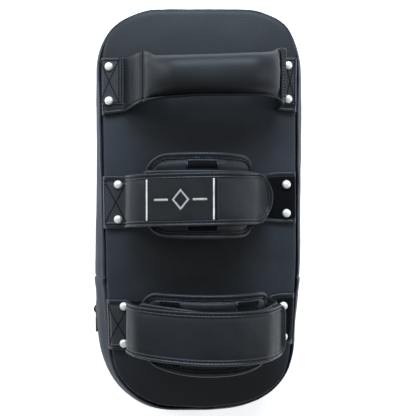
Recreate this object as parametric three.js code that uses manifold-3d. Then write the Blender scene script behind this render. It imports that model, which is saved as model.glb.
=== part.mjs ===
// A Thai pad for kick and punch training, lying on its striking face with its straps up.
// Units are millimetres. x runs across the pad, y towards the hand end, and z up from the
// striking face. h is a height above the flat back panel, where z = THICKNESS.
import * as THREE from "three";
import Module from "manifold-3d";
import { mergeVertices } from "three/addons/utils/BufferGeometryUtils.js";

const wasm = await Module();
wasm.setup();

// Driving dimensions of the padded body.
const THICKNESS = 95;
const HAND_CORNER = { x: 38.5, y: 133.6, r: 55 };
const ELBOW_CORNER = { x: 25, y: -125.8, r: 63 };
const ARC_STEPS = 8;
const LEATHER = 1.8;
const GAP = 0.3;
const BULGE = 9.5;
const BULGE_MIDDLE = 47;
const BULGE_HALF = 43;
const GUSSET = { low: 9.8, high: 90.2, joint: -65.5 };
const CORE_INSET = LEATHER + 0.8;

// The zip runs round the elbow end, at half the pad's thickness.
const ZIP = { z: 46, slot: 4, start: -90, tape: 1.8, coil: 1.6, slider: -99.5 };

// Rivets. Each row has a pair on the left and a pair on the right; seat is the height that
// a cap sits at, over the layers that it holds.
const RIVET = { cap: 4, capHeight: 2.6, post: 1.8, hole: 2.2, flare: 3.2, foot: 89, stiffener: 90.9 };
const STIFFENER_THICK = 1.4;
const STIFFENER_WIDE = 46;
const ROWS = {
  handle: {
    centre: 118,
    reach: [-89.3, 88.8],
    left: { x: -84, y: [133, 101], seat: 5.2 },
    right: { x: 84, y: [134, 102.5], seat: 5.2 },
  },
  mid: {
    centre: 6,
    reach: [-82, 86],
    left: { x: -75.5, y: [22.3, -10.4], seat: 4.9 },
    right: { x: 82.6, y: [22.5, -4.5], seat: 4.5 },
  },
  low: {
    centre: -108,
    reach: [-78, 83],
    left: { x: -70, y: [-92, -126.8], seat: 4.9 },
    right: { x: 79.6, y: [-91.6, -120.4], seat: 4.5 },
  },
};

// The padded handle. Each path is the middle of the inner leather strip, as x and h.
const HANDLE = {
  y: 116,
  width: 50,
  lean: 2.7,
  leather: 3,
  baseLeft: [[-91, 1.9], [-78, 1.9], [-71.5, 2.5], [-67.5, 6.5]],
  arch: [[-62, 14], [-51, 32], [-34, 42], [-5, 46], [30, 46.5], [57, 43], [70, 34], [76, 24], [74.5, 14]],
  baseRight: [[72.4, 7.2], [73.2, 3], [79, 1.9], [91, 1.9]],
  grip: [0.14, 0.81],
  gripWide: 38,
  gripHigh: 16,
  endDrop: 0.6,
  skin: 1.4,
  patch: { inner: 76, outer: 90.8, thick: 1.2 },
};

// The two forearm straps. base and strap are the outer strap, which is sewn down on the
// left. counterBase is the strap that is sewn down on the right, and passes under it.
const STRAP = { leather: 4, width: 47.5, anchor: 51, counter: 2.6, counterWide: 46, clear: 1.6, hook: 0.7, pile: 1 };
const CUSHION = { thick: 10, skin: 1, edge: 1.9, patch: 1, corner: 24 };
const MID = {
  y: 5.9,
  drift: 3.7,
  sway: 0.5,
  counterY: 9.5,
  base: [[-90, 2.4], [-78, 2.4], [-68, 3], [-63.8, 9], [-65.3, 19], [-64.4, 28]],
  strap: [[-64.3, 28.7], [-63.6, 32], [-58.8, 40], [-48, 49], [-26, 55.5], [2, 57], [30, 50.5], [48, 36], [57, 20], [63, 10.5], [69.4, 7.5]],
  tipCorner: 22,
  counterBase: [[54.9, 13.3], [58.6, 7.4], [64.5, 2.9], [72, 1.7], [91, 1.7]],
  counterSpan: [0.13, 0.905],
  hookSpan: [0.82, 0.96],
  labelSpan: [0.22, 0.62],
  pileFrom: 68,
  cushion: [[-48, 39.5], [-26, 46.5], [2, 48.3], [26, 42.5], [41, 29.5], [48.5, 16.5]],
  cushionY: 10.4,
  cushionWide: 74.4,
  patches: [[0.36, 0.62]],
};
const LOW = {
  y: -108.3,
  drift: -3,
  sway: -5.3,
  counterY: -104.3,
  base: [[-86, 2.4], [-72, 2.4], [-60, 2.8], [-56, 8], [-60.2, 19], [-62.6, 25], [-63.2, 30]],
  strap: [[-63.3, 30.7], [-63.2, 35], [-61, 43], [-51, 55], [-28, 63], [4, 66], [36, 62], [58.5, 50], [70.5, 35], [76.5, 21], [79, 13]],
  tipCorner: 9,
  counterBase: [[71.6, 17.1], [68.2, 10], [65.4, 5], [66.6, 2.3], [70.5, 1.7], [91, 1.7]],
  counterSpan: [0.115, 0.958],
  hookSpan: [0.93, 0.985],
  labelSpan: null,
  pileFrom: 69,
  cushion: [[-48, 46.5], [-26, 54], [4, 57], [34, 53], [52, 42], [60, 29]],
  cushionY: -112.6,
  cushionWide: 73,
  patches: [[0.14, 0.3], [0.66, 0.84]],
};

const COLOURS = {
  leather: { color: 0x24272c, roughness: 0.5, metalness: 0 },
  webbing: { color: 0x0b0c0f, roughness: 0.95, metalness: 0 },
  foam: { color: 0x3c3f44, roughness: 0.9, metalness: 0 },
  nickel: { color: 0xd8d6cc, roughness: 0.25, metalness: 1 },
  blackMetal: { color: 0x101114, roughness: 0.35, metalness: 1 },
  label: { color: 0x1b1c1f, roughness: 0.7, metalness: 0 },
};

const pad = new THREE.Group();

function add(name, geometry, colour, parent = pad) {
  const mesh = new THREE.Mesh(geometry, new THREE.MeshStandardMaterial(COLOURS[colour]));
  mesh.name = name;
  parent.add(mesh);
  return mesh;
}

// ---- solids from points -------------------------------------------------------------

function geometryOf(vertices, faces) {
  const geometry = new THREE.BufferGeometry();
  geometry.setAttribute("position", new THREE.Float32BufferAttribute(vertices.flat(), 3));
  geometry.setIndex(faces.flat());
  return geometry;
}

function solidOf(geometry) {
  const plain = geometry.clone();
  plain.deleteAttribute("normal");
  plain.deleteAttribute("uv");
  const merged = mergeVertices(plain, 1e-3);
  const triVerts = new Uint32Array(merged.index.array);
  const vertProperties = new Float32Array(merged.attributes.position.array);
  return new wasm.Manifold(new wasm.Mesh({ numProp: 3, vertProperties, triVerts }));
}

function geometryFrom(solid) {
  const mesh = solid.getMesh();
  const geometry = new THREE.BufferGeometry();
  geometry.setAttribute("position", new THREE.Float32BufferAttribute(mesh.vertProperties, 3));
  geometry.setIndex(new THREE.BufferAttribute(mesh.triVerts, 1));
  return geometry;
}

const cut = (geometry, tools) =>
  geometryFrom(tools.reduce((solid, tool) => solid.subtract(solidOf(tool)), solidOf(geometry)));
const keep = (geometry, tool) => geometryFrom(solidOf(geometry).intersect(solidOf(tool)));

function box(low, high) {
  const size = high.map((value, i) => value - low[i]);
  const centre = high.map((value, i) => (value + low[i]) / 2);
  return new THREE.BoxGeometry(...size).translate(...centre);
}

function holes(row, side) {
  const { x, y } = ROWS[row][side];
  return y.map((place) =>
    new THREE.CylinderGeometry(RIVET.hole, RIVET.hole, 40, 12)
      .rotateX(Math.PI / 2)
      .translate(x, place, THICKNESS),
  );
}

// ---- the padded body ----------------------------------------------------------------

// The back panel's outline, grown by offset: four arcs and the lines between them.
function outline(offset) {
  const rise = ELBOW_CORNER.r - HAND_CORNER.r;
  const run = HAND_CORNER.y - ELBOW_CORNER.y;
  const taper = Math.asin(-rise / run) + Math.asin((HAND_CORNER.x - ELBOW_CORNER.x) / run);
  const side = -taper;
  const arcs = [
    [ELBOW_CORNER, 1, -Math.PI / 2, side],
    [HAND_CORNER, 1, side, Math.PI / 2],
    [HAND_CORNER, -1, Math.PI / 2, Math.PI - side],
    [ELBOW_CORNER, -1, Math.PI - side, (3 * Math.PI) / 2],
  ];
  return arcs.flatMap(([corner, mirror, from, to]) =>
    Array.from({ length: ARC_STEPS + 1 }, (_, i) => {
      const angle = from + ((to - from) * i) / ARC_STEPS;
      const reach = corner.r + offset;
      return [mirror * corner.x + reach * Math.cos(angle), corner.y + reach * Math.sin(angle)];
    }),
  );
}

const bulge = (z) => BULGE * (1 - ((z - BULGE_MIDDLE) / BULGE_HALF) ** 2);
const bulged = (inset, heights) => heights.map((z) => [bulge(z) - inset, z]);

// A solid from outlines, each an offset and a height. A ring joins its last outline to its
// first; any other stack is closed by a flat face at each end.
function stack(profile, ring = false) {
  const vertices = profile.flatMap(([offset, z]) => outline(offset).map(([x, y]) => [x, y, z]));
  const count = outline(0).length;
  const faces = [];
  const levels = ring ? profile.length : profile.length - 1;
  for (let j = 0; j < levels; j++) {
    const low = j * count;
    const high = ((j + 1) % profile.length) * count;
    for (let i = 0; i < count; i++) {
      const next = (i + 1) % count;
      faces.push([low + i, low + next, high + next], [low + i, high + next, high + i]);
    }
  }
  if (!ring) {
    const last = (profile.length - 1) * count;
    for (let i = 1; i < count - 1; i++) faces.push([0, i + 1, i], [last, last + i, last + i + 1]);
  }
  return geometryOf(vertices, faces);
}

function shellRing(outer, inner, heights) {
  return stack([...bulged(outer, heights), ...bulged(inner, [...heights].reverse())], true);
}

function addBody() {
  const front = [[-16, 0], [-8, 0.5], [-2.5, 2.6], [0.6, 6], [2.2, 9.5]];
  const frontInside = [[0.4, 9.5], [-1, 6.6], [-4, 4], [-9, 2.3], [-16, LEATHER]];
  add("front_cover", stack([...front, ...frontInside]), "leather");

  const backInside = [[-7, 93.2], [-4.8, 92.9], [-3.2, 92.2], [-2, 90.5]];
  const back = [[0, 90.5], [-0.6, 92.6], [-2.4, 94.3], [-6, THICKNESS]];
  const rivetHoles = Object.keys(ROWS).flatMap((row) => [...holes(row, "left"), ...holes(row, "right")]);
  add("back_cover", cut(stack([...backInside, ...back]), rivetHoles), "leather");

  const gusset = shellRing(0, LEATHER, [GUSSET.low, 20, 33, 42, 50, 61, 74, 84, GUSSET.high]);
  const handHalf = box([-150, GUSSET.joint + GAP / 2, 0], [150, 250, 100]);
  const elbowHalf = box([-150, -250, 0], [150, GUSSET.joint - GAP / 2, 100]);
  const slot = box([-150, -250, ZIP.z - ZIP.slot], [150, ZIP.start, ZIP.z + ZIP.slot]);
  add("gusset_hand_end", keep(gusset, handHalf), "leather");
  add("gusset_elbow_end", cut(keep(gusset, elbowHalf), [slot]), "leather");

  const strike = [[-17, 2.3], [-9.5, 2.9], [-5, 4.7], [-2, 7.4], ...bulged(CORE_INSET, [11, 18, 26])];
  add("core_strike_foam", stack(strike), "foam");
  add("core_middle_foam", stack(bulged(CORE_INSET, [26.4, 36, 47, 58, 66])), "foam");
  add("core_back_foam", stack(bulged(CORE_INSET, [66.4, 74, 82, 88.2])), "foam");
}

function addStiffeners() {
  for (const [name, row] of Object.entries(ROWS)) {
    const plate = box(
      [row.reach[0], row.centre - STIFFENER_WIDE / 2, RIVET.stiffener],
      [row.reach[1], row.centre + STIFFENER_WIDE / 2, RIVET.stiffener + STIFFENER_THICK],
    );
    add(`${name}_stiffener`, cut(plate, [...holes(name, "left"), ...holes(name, "right")]), "webbing");
  }
}

function rivetGeometry(seat) {
  const cap = THICKNESS + seat;
  const profile = [
    [0, RIVET.foot],
    [RIVET.flare, RIVET.foot],
    [RIVET.flare, RIVET.foot + 0.9],
    [RIVET.post, RIVET.foot + 1.5],
    [RIVET.post, cap],
    [RIVET.cap, cap],
    [0.92 * RIVET.cap, cap + 0.5 * RIVET.capHeight],
    [0.6 * RIVET.cap, cap + 0.85 * RIVET.capHeight],
    [0, cap + RIVET.capHeight],
  ];
  return new THREE.LatheGeometry(profile.map((p) => new THREE.Vector2(...p)), 12).rotateX(Math.PI / 2);
}

function addRivets() {
  for (const [name, row] of Object.entries(ROWS)) {
    for (const side of ["left", "right"]) {
      row[side].y.forEach((place, i) => {
        const rivet = add(`${name}_rivet_${side}_${i + 1}`, rivetGeometry(row[side].seat), "nickel");
        rivet.position.set(row[side].x, place, 0);
      });
    }
  }
}

// ---- the zip ------------------------------------------------------------------------

function addZip() {
  const below = box([-150, -250, 0], [150, ZIP.start - GAP, 100]);
  const band = (from, to, outer, inner) => keep(shellRing(outer, inner, [from, to]), below);
  const edge = ZIP.slot - GAP;
  add("zip_tape_front", band(ZIP.z - edge, ZIP.z - edge + ZIP.tape, 0.4, 1.4), "webbing");
  add("zip_tape_back", band(ZIP.z + edge - ZIP.tape, ZIP.z + edge, 0.4, 1.4), "webbing");
  add("zip_coil", band(ZIP.z - ZIP.coil, ZIP.z + ZIP.coil, -0.8, 1.6), "webbing");

  // In this group x points out of the gusset, y along the zip, and z across it.
  const [a, b] = [outline(BULGE)[3 * (ARC_STEPS + 1) - 1], outline(BULGE)[3 * (ARC_STEPS + 1)]];
  const share = (ZIP.slider - a[1]) / (b[1] - a[1]);
  const slider = new THREE.Group();
  slider.position.set(a[0] + (b[0] - a[0]) * share, ZIP.slider, ZIP.z);
  slider.rotation.z = Math.atan2(b[1] - a[1], b[0] - a[0]) - Math.PI / 2;
  pad.add(slider);

  // y points towards the elbow end, so the pull's tail is at +y.
  const plate = solidOf(box([1.1, -6, -4.5], [3.1, 6, 4.5]));
  const bridge = solidOf(box([3, -3.8, -1.5], [6.7, 3.8, 1.5]));
  const eye = solidOf(box([3.1, -2.2, -2], [5.3, 2.2, 2]));
  add("zip_slider", geometryFrom(plate.add(bridge).subtract(eye)), "blackMetal", slider);
  const tab = box([3.6, -0.6, -3.5], [4.8, 23, 3.5]);
  const window = box([3, 0.6, -2.1], [6, 5.4, 2.1]);
  const grip = box([3, 17, -1.3], [6, 20.5, 1.3]);
  add("zip_pull", cut(tab, [window, grip]), "blackMetal", slider);
}

// ---- straps and cushions ------------------------------------------------------------

// Points along a spline through [x, h] pairs, from share u to share v of its length, each
// with the direction across it that faces away from the pad.
function along(points, u = 0, v = 1, steps = 18, shares = null) {
  const curve = new THREE.SplineCurve(points.map((p) => new THREE.Vector2(...p)));
  const at = shares ?? Array.from({ length: steps + 1 }, (_, i) => i / steps);
  return at.map((share) => {
    const t = u + (v - u) * share;
    const point = curve.getPointAt(t);
    const tangent = curve.getTangentAt(t);
    return { x: point.x, h: point.y, nx: -tangent.y, nh: tangent.x, t, share };
  });
}

const placed = (p, y, n) => [p.x + p.nx * n, y, THICKNESS + p.h + p.nh * n];

// A solid whose section at each path point is a polygon of [y, n] pairs, n being the
// distance out from the path.
function sweep(path, sectionAt) {
  const sections = path.map(sectionAt);
  const count = sections[0].length;
  const vertices = path.flatMap((p, j) => sections[j].map(([y, n]) => placed(p, y, n)));
  const faces = [];
  for (let j = 0; j < path.length - 1; j++) {
    for (let k = 0; k < count; k++) {
      const next = (k + 1) % count;
      const [low, high] = [j * count, (j + 1) * count];
      faces.push([low + k, low + next, high + next], [low + k, high + next, high + k]);
    }
  }
  const contour = sections[0].map((p) => new THREE.Vector2(...p));
  const last = (path.length - 1) * count;
  for (const [a, b, c] of THREE.ShapeUtils.triangulateShape(contour, [])) {
    faces.push([c, b, a], [last + a, last + b, last + c]);
  }
  return geometryOf(vertices, faces);
}

const slab = (y, width, low, high) => [
  [y - width / 2, low],
  [y + width / 2, low],
  [y + width / 2, high],
  [y - width / 2, high],
];

// Half the width that a corner of this radius takes off, a distance in from the end.
const cornerCut = (radius, inFromEnd) =>
  inFromEnd >= radius ? 0 : radius - Math.sqrt(radius ** 2 - (radius - inFromEnd) ** 2);

const lengthOf = (points) => new THREE.SplineCurve(points.map((p) => new THREE.Vector2(...p))).getLength();

// Shares of a length that crowd towards a rounded end, or both.
function crowded(length, radius, bothEnds) {
  const corner = [0, 1, 2, 3, 4, 5].map((i) => (radius * (1 - Math.cos((i * Math.PI) / 10))) / length);
  const middle = Array.from({ length: 11 }, (_, i) => i / 10);
  const inner = middle.filter((s) => s < 1 - radius / length - 0.02 && (!bothEnds || s > radius / length + 0.02));
  return [...(bothEnds ? corner : []), ...inner, ...corner.map((s) => 1 - s).reverse()];
}

function addStrap(name, spec) {
  const half = STRAP.leather / 2;
  const centreAt = (t) => spec.y + spec.drift * t + spec.sway * Math.sin(Math.PI * t);

  const widthAt = (t) => STRAP.anchor + (STRAP.width - STRAP.anchor) * t;
  const base = sweep(along(spec.base), ({ t }) => slab(spec.y, widthAt(t), -half, half));
  add(`${name}_strap_base`, cut(base, holes(name, "left")), "leather");

  const length = lengthOf(spec.strap);
  const shares = crowded(length, spec.tipCorner, false);
  const strap = sweep(along(spec.strap, 0, 1, 0, shares), ({ t }) => {
    const width = STRAP.width - 2 * cornerCut(spec.tipCorner, (1 - t) * length);
    return slab(centreAt(t), width, -half, half);
  });
  add(`${name}_strap`, strap, "leather");

  const hook = -half - 2 * GAP;
  add(
    `${name}_hook_patch`,
    sweep(along(spec.strap, ...spec.hookSpan, 8), ({ t }) => slab(centreAt(t), 28, hook - STRAP.hook, hook)),
    "webbing",
  );
  if (spec.labelSpan) {
    add(
      `${name}_label`,
      sweep(along(spec.strap, ...spec.labelSpan, 8), ({ t }) => slab(centreAt(t), 40, half + GAP, half + 0.9)),
      "label",
    );
  }

  const counterTop = -half - STRAP.clear;
  add(
    `${name}_counter_strap`,
    sweep(along(spec.strap, ...spec.counterSpan, 16), () =>
      slab(spec.counterY, STRAP.counterWide, counterTop - STRAP.counter, counterTop),
    ),
    "webbing",
  );
  const counterHalf = STRAP.counter / 2;
  const counterBase = sweep(along(spec.counterBase, 0, 1, 12), () =>
    slab(spec.counterY, STRAP.counterWide, -counterHalf, counterHalf),
  );
  add(`${name}_counter_base`, cut(counterBase, holes(name, "right")), "webbing");

  const pileLow = THICKNESS + 1.7 + counterHalf + GAP;
  const pile = box(
    [spec.pileFrom + 5, spec.counterY - 19, pileLow],
    [90.5, spec.counterY + 19, pileLow + STRAP.pile - GAP],
  );
  add(`${name}_loop_patch`, cut(pile, holes(name, "right")), "webbing");
}

// A bound edge: a tube along a closed loop of points on the cushion's surface.
function loopTube(points, radius, sides = 6) {
  const count = points.length;
  const vertices = points.flatMap(({ at, out }, i) => {
    const before = points[(i + count - 1) % count].at;
    const after = points[(i + 1) % count].at;
    const tangent = new THREE.Vector3().subVectors(after, before).normalize();
    const sideways = new THREE.Vector3().crossVectors(out, tangent).normalize();
    return Array.from({ length: sides }, (_, k) => {
      const angle = (2 * Math.PI * k) / sides;
      const point = at.clone().addScaledVector(out, radius * Math.cos(angle));
      return point.addScaledVector(sideways, -radius * Math.sin(angle)).toArray();
    });
  });
  const faces = [];
  for (let i = 0; i < count; i++) {
    for (let k = 0; k < sides; k++) {
      const next = (k + 1) % sides;
      const [low, high] = [i * sides, ((i + 1) % count) * sides];
      faces.push([low + k, low + next, high + next], [low + k, high + next, high + k]);
    }
  }
  return geometryOf(vertices, faces);
}

function addCushion(name, spec) {
  const length = lengthOf(spec.cushion);
  const path = along(spec.cushion, 0, 1, 0, crowded(length, CUSHION.corner, true));
  const inset = CUSHION.edge * 2;
  const halfWidth = ({ share }) => {
    const inFromEnd = Math.min(share, 1 - share) * length;
    return spec.cushionWide / 2 - inset - cornerCut(CUSHION.corner, inFromEnd);
  };
  const layer = (low, high) => sweep(path, (p) => slab(spec.cushionY, 2 * halfWidth(p), low, high));
  const { thick, skin } = CUSHION;
  add(`${name}_cushion_cover`, layer(-skin, 0), "leather");
  add(`${name}_cushion_foam`, layer(GAP + skin - thick, -skin - GAP), "foam");
  add(`${name}_cushion_lining`, layer(-thick, skin - thick), "leather");

  const middle = -thick / 2;
  const rim = CUSHION.edge + GAP;
  const onSurface = (p, y, outX = 0) => {
    const [x, , z] = placed(p, 0, middle);
    const at = new THREE.Vector3(x + p.nh * outX, y, z - p.nx * outX);
    return { at, out: new THREE.Vector3(p.nx, 0, p.nh) };
  };
  const edgeOf = (p, side) => {
    const nearEnd = Math.min(p.share, 1 - p.share) * length;
    const turn = nearEnd >= CUSHION.corner ? 0 : Math.acos(nearEnd / CUSHION.corner - 1 + 1e-9) - Math.PI / 2;
    const endwards = (p.share < 0.5 ? -1 : 1) * rim * Math.sin(Math.max(0, turn));
    return onSurface(p, spec.cushionY + side * (halfWidth(p) + rim * Math.cos(turn)), endwards);
  };
  const loop = [...path.map((p) => edgeOf(p, -1)), ...[...path].reverse().map((p) => edgeOf(p, 1))];
  add(`${name}_cushion_binding`, loopTube(loop, CUSHION.edge), "leather");

  spec.patches.forEach((span, i) => {
    const patch = sweep(along(spec.cushion, ...span, 4), () =>
      slab(spec.cushionY, spec.cushionWide - 4 * inset, GAP, GAP + CUSHION.patch),
    );
    add(`${name}_cushion_patch_${i + 1}`, patch, "webbing");
  });
}

// ---- the handle ---------------------------------------------------------------------

function addHandle() {
  const half = HANDLE.leather / 2;
  const strip = (y) => slab(y, HANDLE.width, -half, half);
  const centreAt = (t) => HANDLE.y + HANDLE.lean * Math.sin(Math.PI * t);
  for (const side of ["left", "right"]) {
    const points = side === "left" ? HANDLE.baseLeft : HANDLE.baseRight;
    const base = sweep(along(points, 0, 1, 8), () => strip(HANDLE.y));
    add(`handle_base_${side}`, cut(base, holes("handle", side)), "leather");

    const mirror = side === "left" ? -1 : 1;
    const low = THICKNESS + 1.9 + half + GAP;
    const across = [mirror * HANDLE.patch.inner, mirror * HANDLE.patch.outer].sort((a, b) => a - b);
    const patch = box(
      [across[0], HANDLE.y - HANDLE.width / 2, low],
      [across[1], HANDLE.y + HANDLE.width / 2, low + HANDLE.patch.thick],
    );
    add(`handle_patch_${side}`, cut(patch, holes("handle", side)), "leather");
  }
  add("handle_strip", sweep(along(HANDLE.arch, 0, 1, 24), ({ t }) => strip(centreAt(t))), "leather");

  // The grip's section is half an oval, flat where it meets the strip.
  const oval = (wide, high, low, y) =>
    Array.from({ length: 9 }, (_, i) => {
      const angle = (Math.PI * i) / 8;
      return [y + (wide / 2) * Math.cos(angle), low + high * Math.sin(angle)];
    });
  const low = half + 2 * GAP;
  const { grip, gripWide, gripHigh, endDrop, skin } = HANDLE;
  const highAt = (share) => gripHigh * (1 - endDrop * (2 * share - 1) ** 4);
  const path = along(HANDLE.arch, ...grip, 16);
  const foam = sweep(path, ({ t, share }) => oval(gripWide, highAt(share), low, centreAt(t)));
  add("handle_foam", foam, "foam");
  const sleeve = sweep(path, ({ t, share }) => {
    const [y, high] = [centreAt(t), highAt(share)];
    const outer = oval(gripWide + 2 * (skin + 2 * GAP), high + skin + 2 * GAP, low, y);
    const inner = oval(gripWide + 4 * GAP, high + 2 * GAP, low, y);
    return [...outer, ...inner.reverse()];
  });
  add("handle_sleeve", sleeve, "leather");
}

addBody();
addStiffeners();
addZip();
addHandle();
addStrap("mid", MID);
addStrap("low", LOW);
addCushion("mid", MID);
addCushion("low", LOW);
addRivets();

export default pad;
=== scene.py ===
"""A Thai pad in detail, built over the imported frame. Lengths are in millimetres until a mesh is
made, which is in metres. On a strap, s runs along it, y across it, and n out from its middle."""

import bpy
import math
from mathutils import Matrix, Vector, noise


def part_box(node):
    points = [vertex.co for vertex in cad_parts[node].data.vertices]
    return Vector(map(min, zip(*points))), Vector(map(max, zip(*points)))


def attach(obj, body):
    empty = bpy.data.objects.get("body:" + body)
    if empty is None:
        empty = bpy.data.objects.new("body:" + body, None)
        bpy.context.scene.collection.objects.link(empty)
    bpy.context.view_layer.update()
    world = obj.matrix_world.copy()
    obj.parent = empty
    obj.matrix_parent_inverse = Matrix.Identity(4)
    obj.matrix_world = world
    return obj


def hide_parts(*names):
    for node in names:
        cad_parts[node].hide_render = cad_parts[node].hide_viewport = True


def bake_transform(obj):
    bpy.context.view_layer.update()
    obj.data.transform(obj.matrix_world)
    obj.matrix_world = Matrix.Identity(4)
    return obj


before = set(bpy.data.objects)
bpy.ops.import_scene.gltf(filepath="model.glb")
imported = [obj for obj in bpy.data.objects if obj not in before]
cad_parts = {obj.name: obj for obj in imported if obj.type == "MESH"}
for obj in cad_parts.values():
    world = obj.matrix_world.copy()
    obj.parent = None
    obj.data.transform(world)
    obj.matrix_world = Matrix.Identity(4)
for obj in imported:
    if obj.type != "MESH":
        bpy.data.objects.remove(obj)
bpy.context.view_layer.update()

MM = 0.001
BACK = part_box("back_cover")[1][2] / MM

# ---- materials

TEXTURE_LOW, TEXTURE_HIGH = 0.3, 0.7  # nearly all of a texture's values lie between these
# Where the painted highlight on the pad's long edges begins and is full, by the distance from its
# middle line, and where it fades towards its ends, by the distance from the middle point given last,
# all in metres.
EDGE_LIGHT_ASIDE = (0.036, 0.086)
EDGE_LIGHT_ALONG = (0.1, 0.15)
EDGE_LIGHT_MIDDLE = -0.02


class Shader:
    """A material. Its textures lie in the piece's own coordinates, so they stay on it."""

    def __init__(self, name, colour, rough, metallic=0.0, gloss=0.5):
        self.material = bpy.data.materials.new(name)
        self.material.use_nodes = True
        self.tree = self.material.node_tree
        self.inputs = self.tree.nodes["Principled BSDF"].inputs
        self.colour = colour
        self.relief = None
        self.inputs["Base Color"].default_value = (*colour, 1)
        self.inputs["Roughness"].default_value = rough
        self.inputs["Metallic"].default_value = metallic
        self.inputs["Specular IOR Level"].default_value = gloss

    def coords(self):
        return self.node("ShaderNodeTexCoord").outputs["Object"]

    def feed(self, socket, value):
        """Links an output to an input, or sets the input's value."""
        if isinstance(value, bpy.types.NodeSocket):
            self.tree.links.new(value, socket)
        else:
            socket.default_value = value

    def node(self, kind, operation=None, **inputs):
        node = self.tree.nodes.new(kind)
        if operation:
            node.operation = operation
        for key, value in inputs.items():
            self.feed(node.inputs[key.replace("_", " ")], value)
        return node

    def texture(self, kind, scale, **inputs):
        node = self.node("ShaderNodeTex" + kind, Vector=self.coords(), Scale=scale, **inputs)
        return node.outputs["Distance" if kind == "Voronoi" else "Fac"]

    def remap(self, value, low, high, to_low, to_high):
        node = self.node("ShaderNodeMapRange", Value=value, From_Min=low, From_Max=high,
                         To_Min=to_low, To_Max=to_high)
        return node.outputs["Result"]

    def maths(self, operation, *values):
        node = self.node("ShaderNodeMath", operation)
        for socket, value in zip(node.inputs, values):
            self.feed(socket, value)
        return node.outputs["Value"]

    def bump(self, height, strength, distance):
        """Adds relief on top of what the material already has."""
        node = self.node("ShaderNodeBump", Height=height, Strength=strength, Distance=distance)
        if self.relief is not None:
            self.feed(node.inputs["Normal"], self.relief)
        self.relief = node.outputs["Normal"]
        self.feed(self.inputs["Normal"], self.relief)

    def vary_rough(self, source, low, high):
        self.feed(self.inputs["Roughness"], self.remap(source, TEXTURE_LOW, TEXTURE_HIGH, low, high))

    def tint(self, source, darkest, lightest):
        """Varies the colour between two shares of itself."""
        ramp = self.node("ShaderNodeValToRGB", Fac=source)
        stops = ((TEXTURE_LOW, darkest), (TEXTURE_HIGH, lightest))
        for stop, (at, share) in zip(ramp.color_ramp.elements, stops):
            stop.position = at
            stop.color = (*(c * share for c in self.colour), 1)
        self.feed(self.inputs["Base Color"], ramp.outputs["Color"])

    def paint_edge_light(self, gain):
        """Lightens the colour towards the pad's long edges, not at its ends: a painted highlight."""
        place = self.node("ShaderNodeSeparateXYZ", Vector=self.coords()).outputs
        edge = self.remap(self.maths("ABSOLUTE", place["X"]), *EDGE_LIGHT_ASIDE, 0.0, 1.0)
        along = self.maths("ABSOLUTE", self.maths("ADD", place["Y"], -EDGE_LIGHT_MIDDLE))
        share = self.maths("MULTIPLY", edge, self.remap(along, *EDGE_LIGHT_ALONG, 1.0, 0.0))
        amount = self.remap(share, 0.0, 1.0, 1.0, gain)
        scaled = self.node("ShaderNodeVectorMath", "SCALE", Scale=amount)
        self.feed(scaled.inputs[0], self.inputs["Base Color"].links[0].from_socket)
        self.feed(self.inputs["Base Color"], scaled.outputs["Vector"])


def leather(name, colour, rough, grain=1.0, gloss=0.32, edge_light=None):
    """Coated leather: pebble grain with fine pores, and slow changes of tone and gloss."""
    shade = Shader(name, colour, rough, gloss=gloss)
    broad = shade.texture("Noise", 26, Detail=4.0, Roughness=0.55)
    shade.tint(broad, 0.82, 1.2)
    shade.vary_rough(broad, rough - 0.05, rough + 0.05)
    shade.bump(shade.texture("Voronoi", 850), 0.22 * grain, 0.0003)
    shade.bump(shade.texture("Noise", 2400, Detail=3.0), 0.16 * grain, 0.0002)
    shade.bump(broad, 0.12, 0.002)
    # a painted highlight on the long edges, when one is asked for
    if edge_light:
        shade.paint_edge_light(edge_light)
    return shade.material


def pile_fabric(name, colour):
    """Loop pile: tangled dark fibres that take the light on their tips."""
    shade = Shader(name, colour, 0.95, gloss=0.08)
    shade.inputs["Sheen Weight"].default_value = 0.06
    shade.inputs["Sheen Roughness"].default_value = 0.5
    tangle = shade.texture("Noise", 1500, Detail=5.0, Distortion=1.2)
    shade.tint(tangle, 1.0, 2.6)
    shade.bump(tangle, 0.8, 0.0008)
    return shade.material


def woven(name, colour, rough, scale):
    """Plain weave, as crossed waves."""
    shade = Shader(name, colour, rough, gloss=0.25)
    for direction in "XY":
        thread = shade.texture("Wave", scale)
        thread.node.bands_direction = direction
        shade.bump(thread, 0.35, 0.0002)
    shade.tint(shade.texture("Noise", 120, Detail=3.0), 0.8, 1.25)
    return shade.material


def metal(name, colour, rough):
    """Plated metal with faint smudges."""
    shade = Shader(name, colour, rough, metallic=0.55)
    smudge = shade.texture("Noise", 420, Detail=3.0)
    shade.vary_rough(smudge, rough, rough + 0.06)
    shade.bump(smudge, 0.05, 0.0003)
    return shade.material


def foam(name, colour):
    """Open cells, darker in their middles."""
    shade = Shader(name, colour, 0.9)
    cells = shade.texture("Voronoi", 700)
    shade.tint(cells, 0.6, 1.0)
    shade.bump(cells, 0.5, 0.0005)
    return shade.material


# The panel's long edges carry a painted highlight, up to 2.8 times its colour, for the light its sides
# catch.
PANEL = leather("panel_leather", (0.0054, 0.0068, 0.009), 0.5, edge_light=2.8)
GUSSET = leather("gusset_leather", (0.0096, 0.0128, 0.0215), 0.58, gloss=0.18)
STRAP = leather("strap_leather", (0.0084, 0.0098, 0.0116), 0.48, gloss=0.27)
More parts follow.
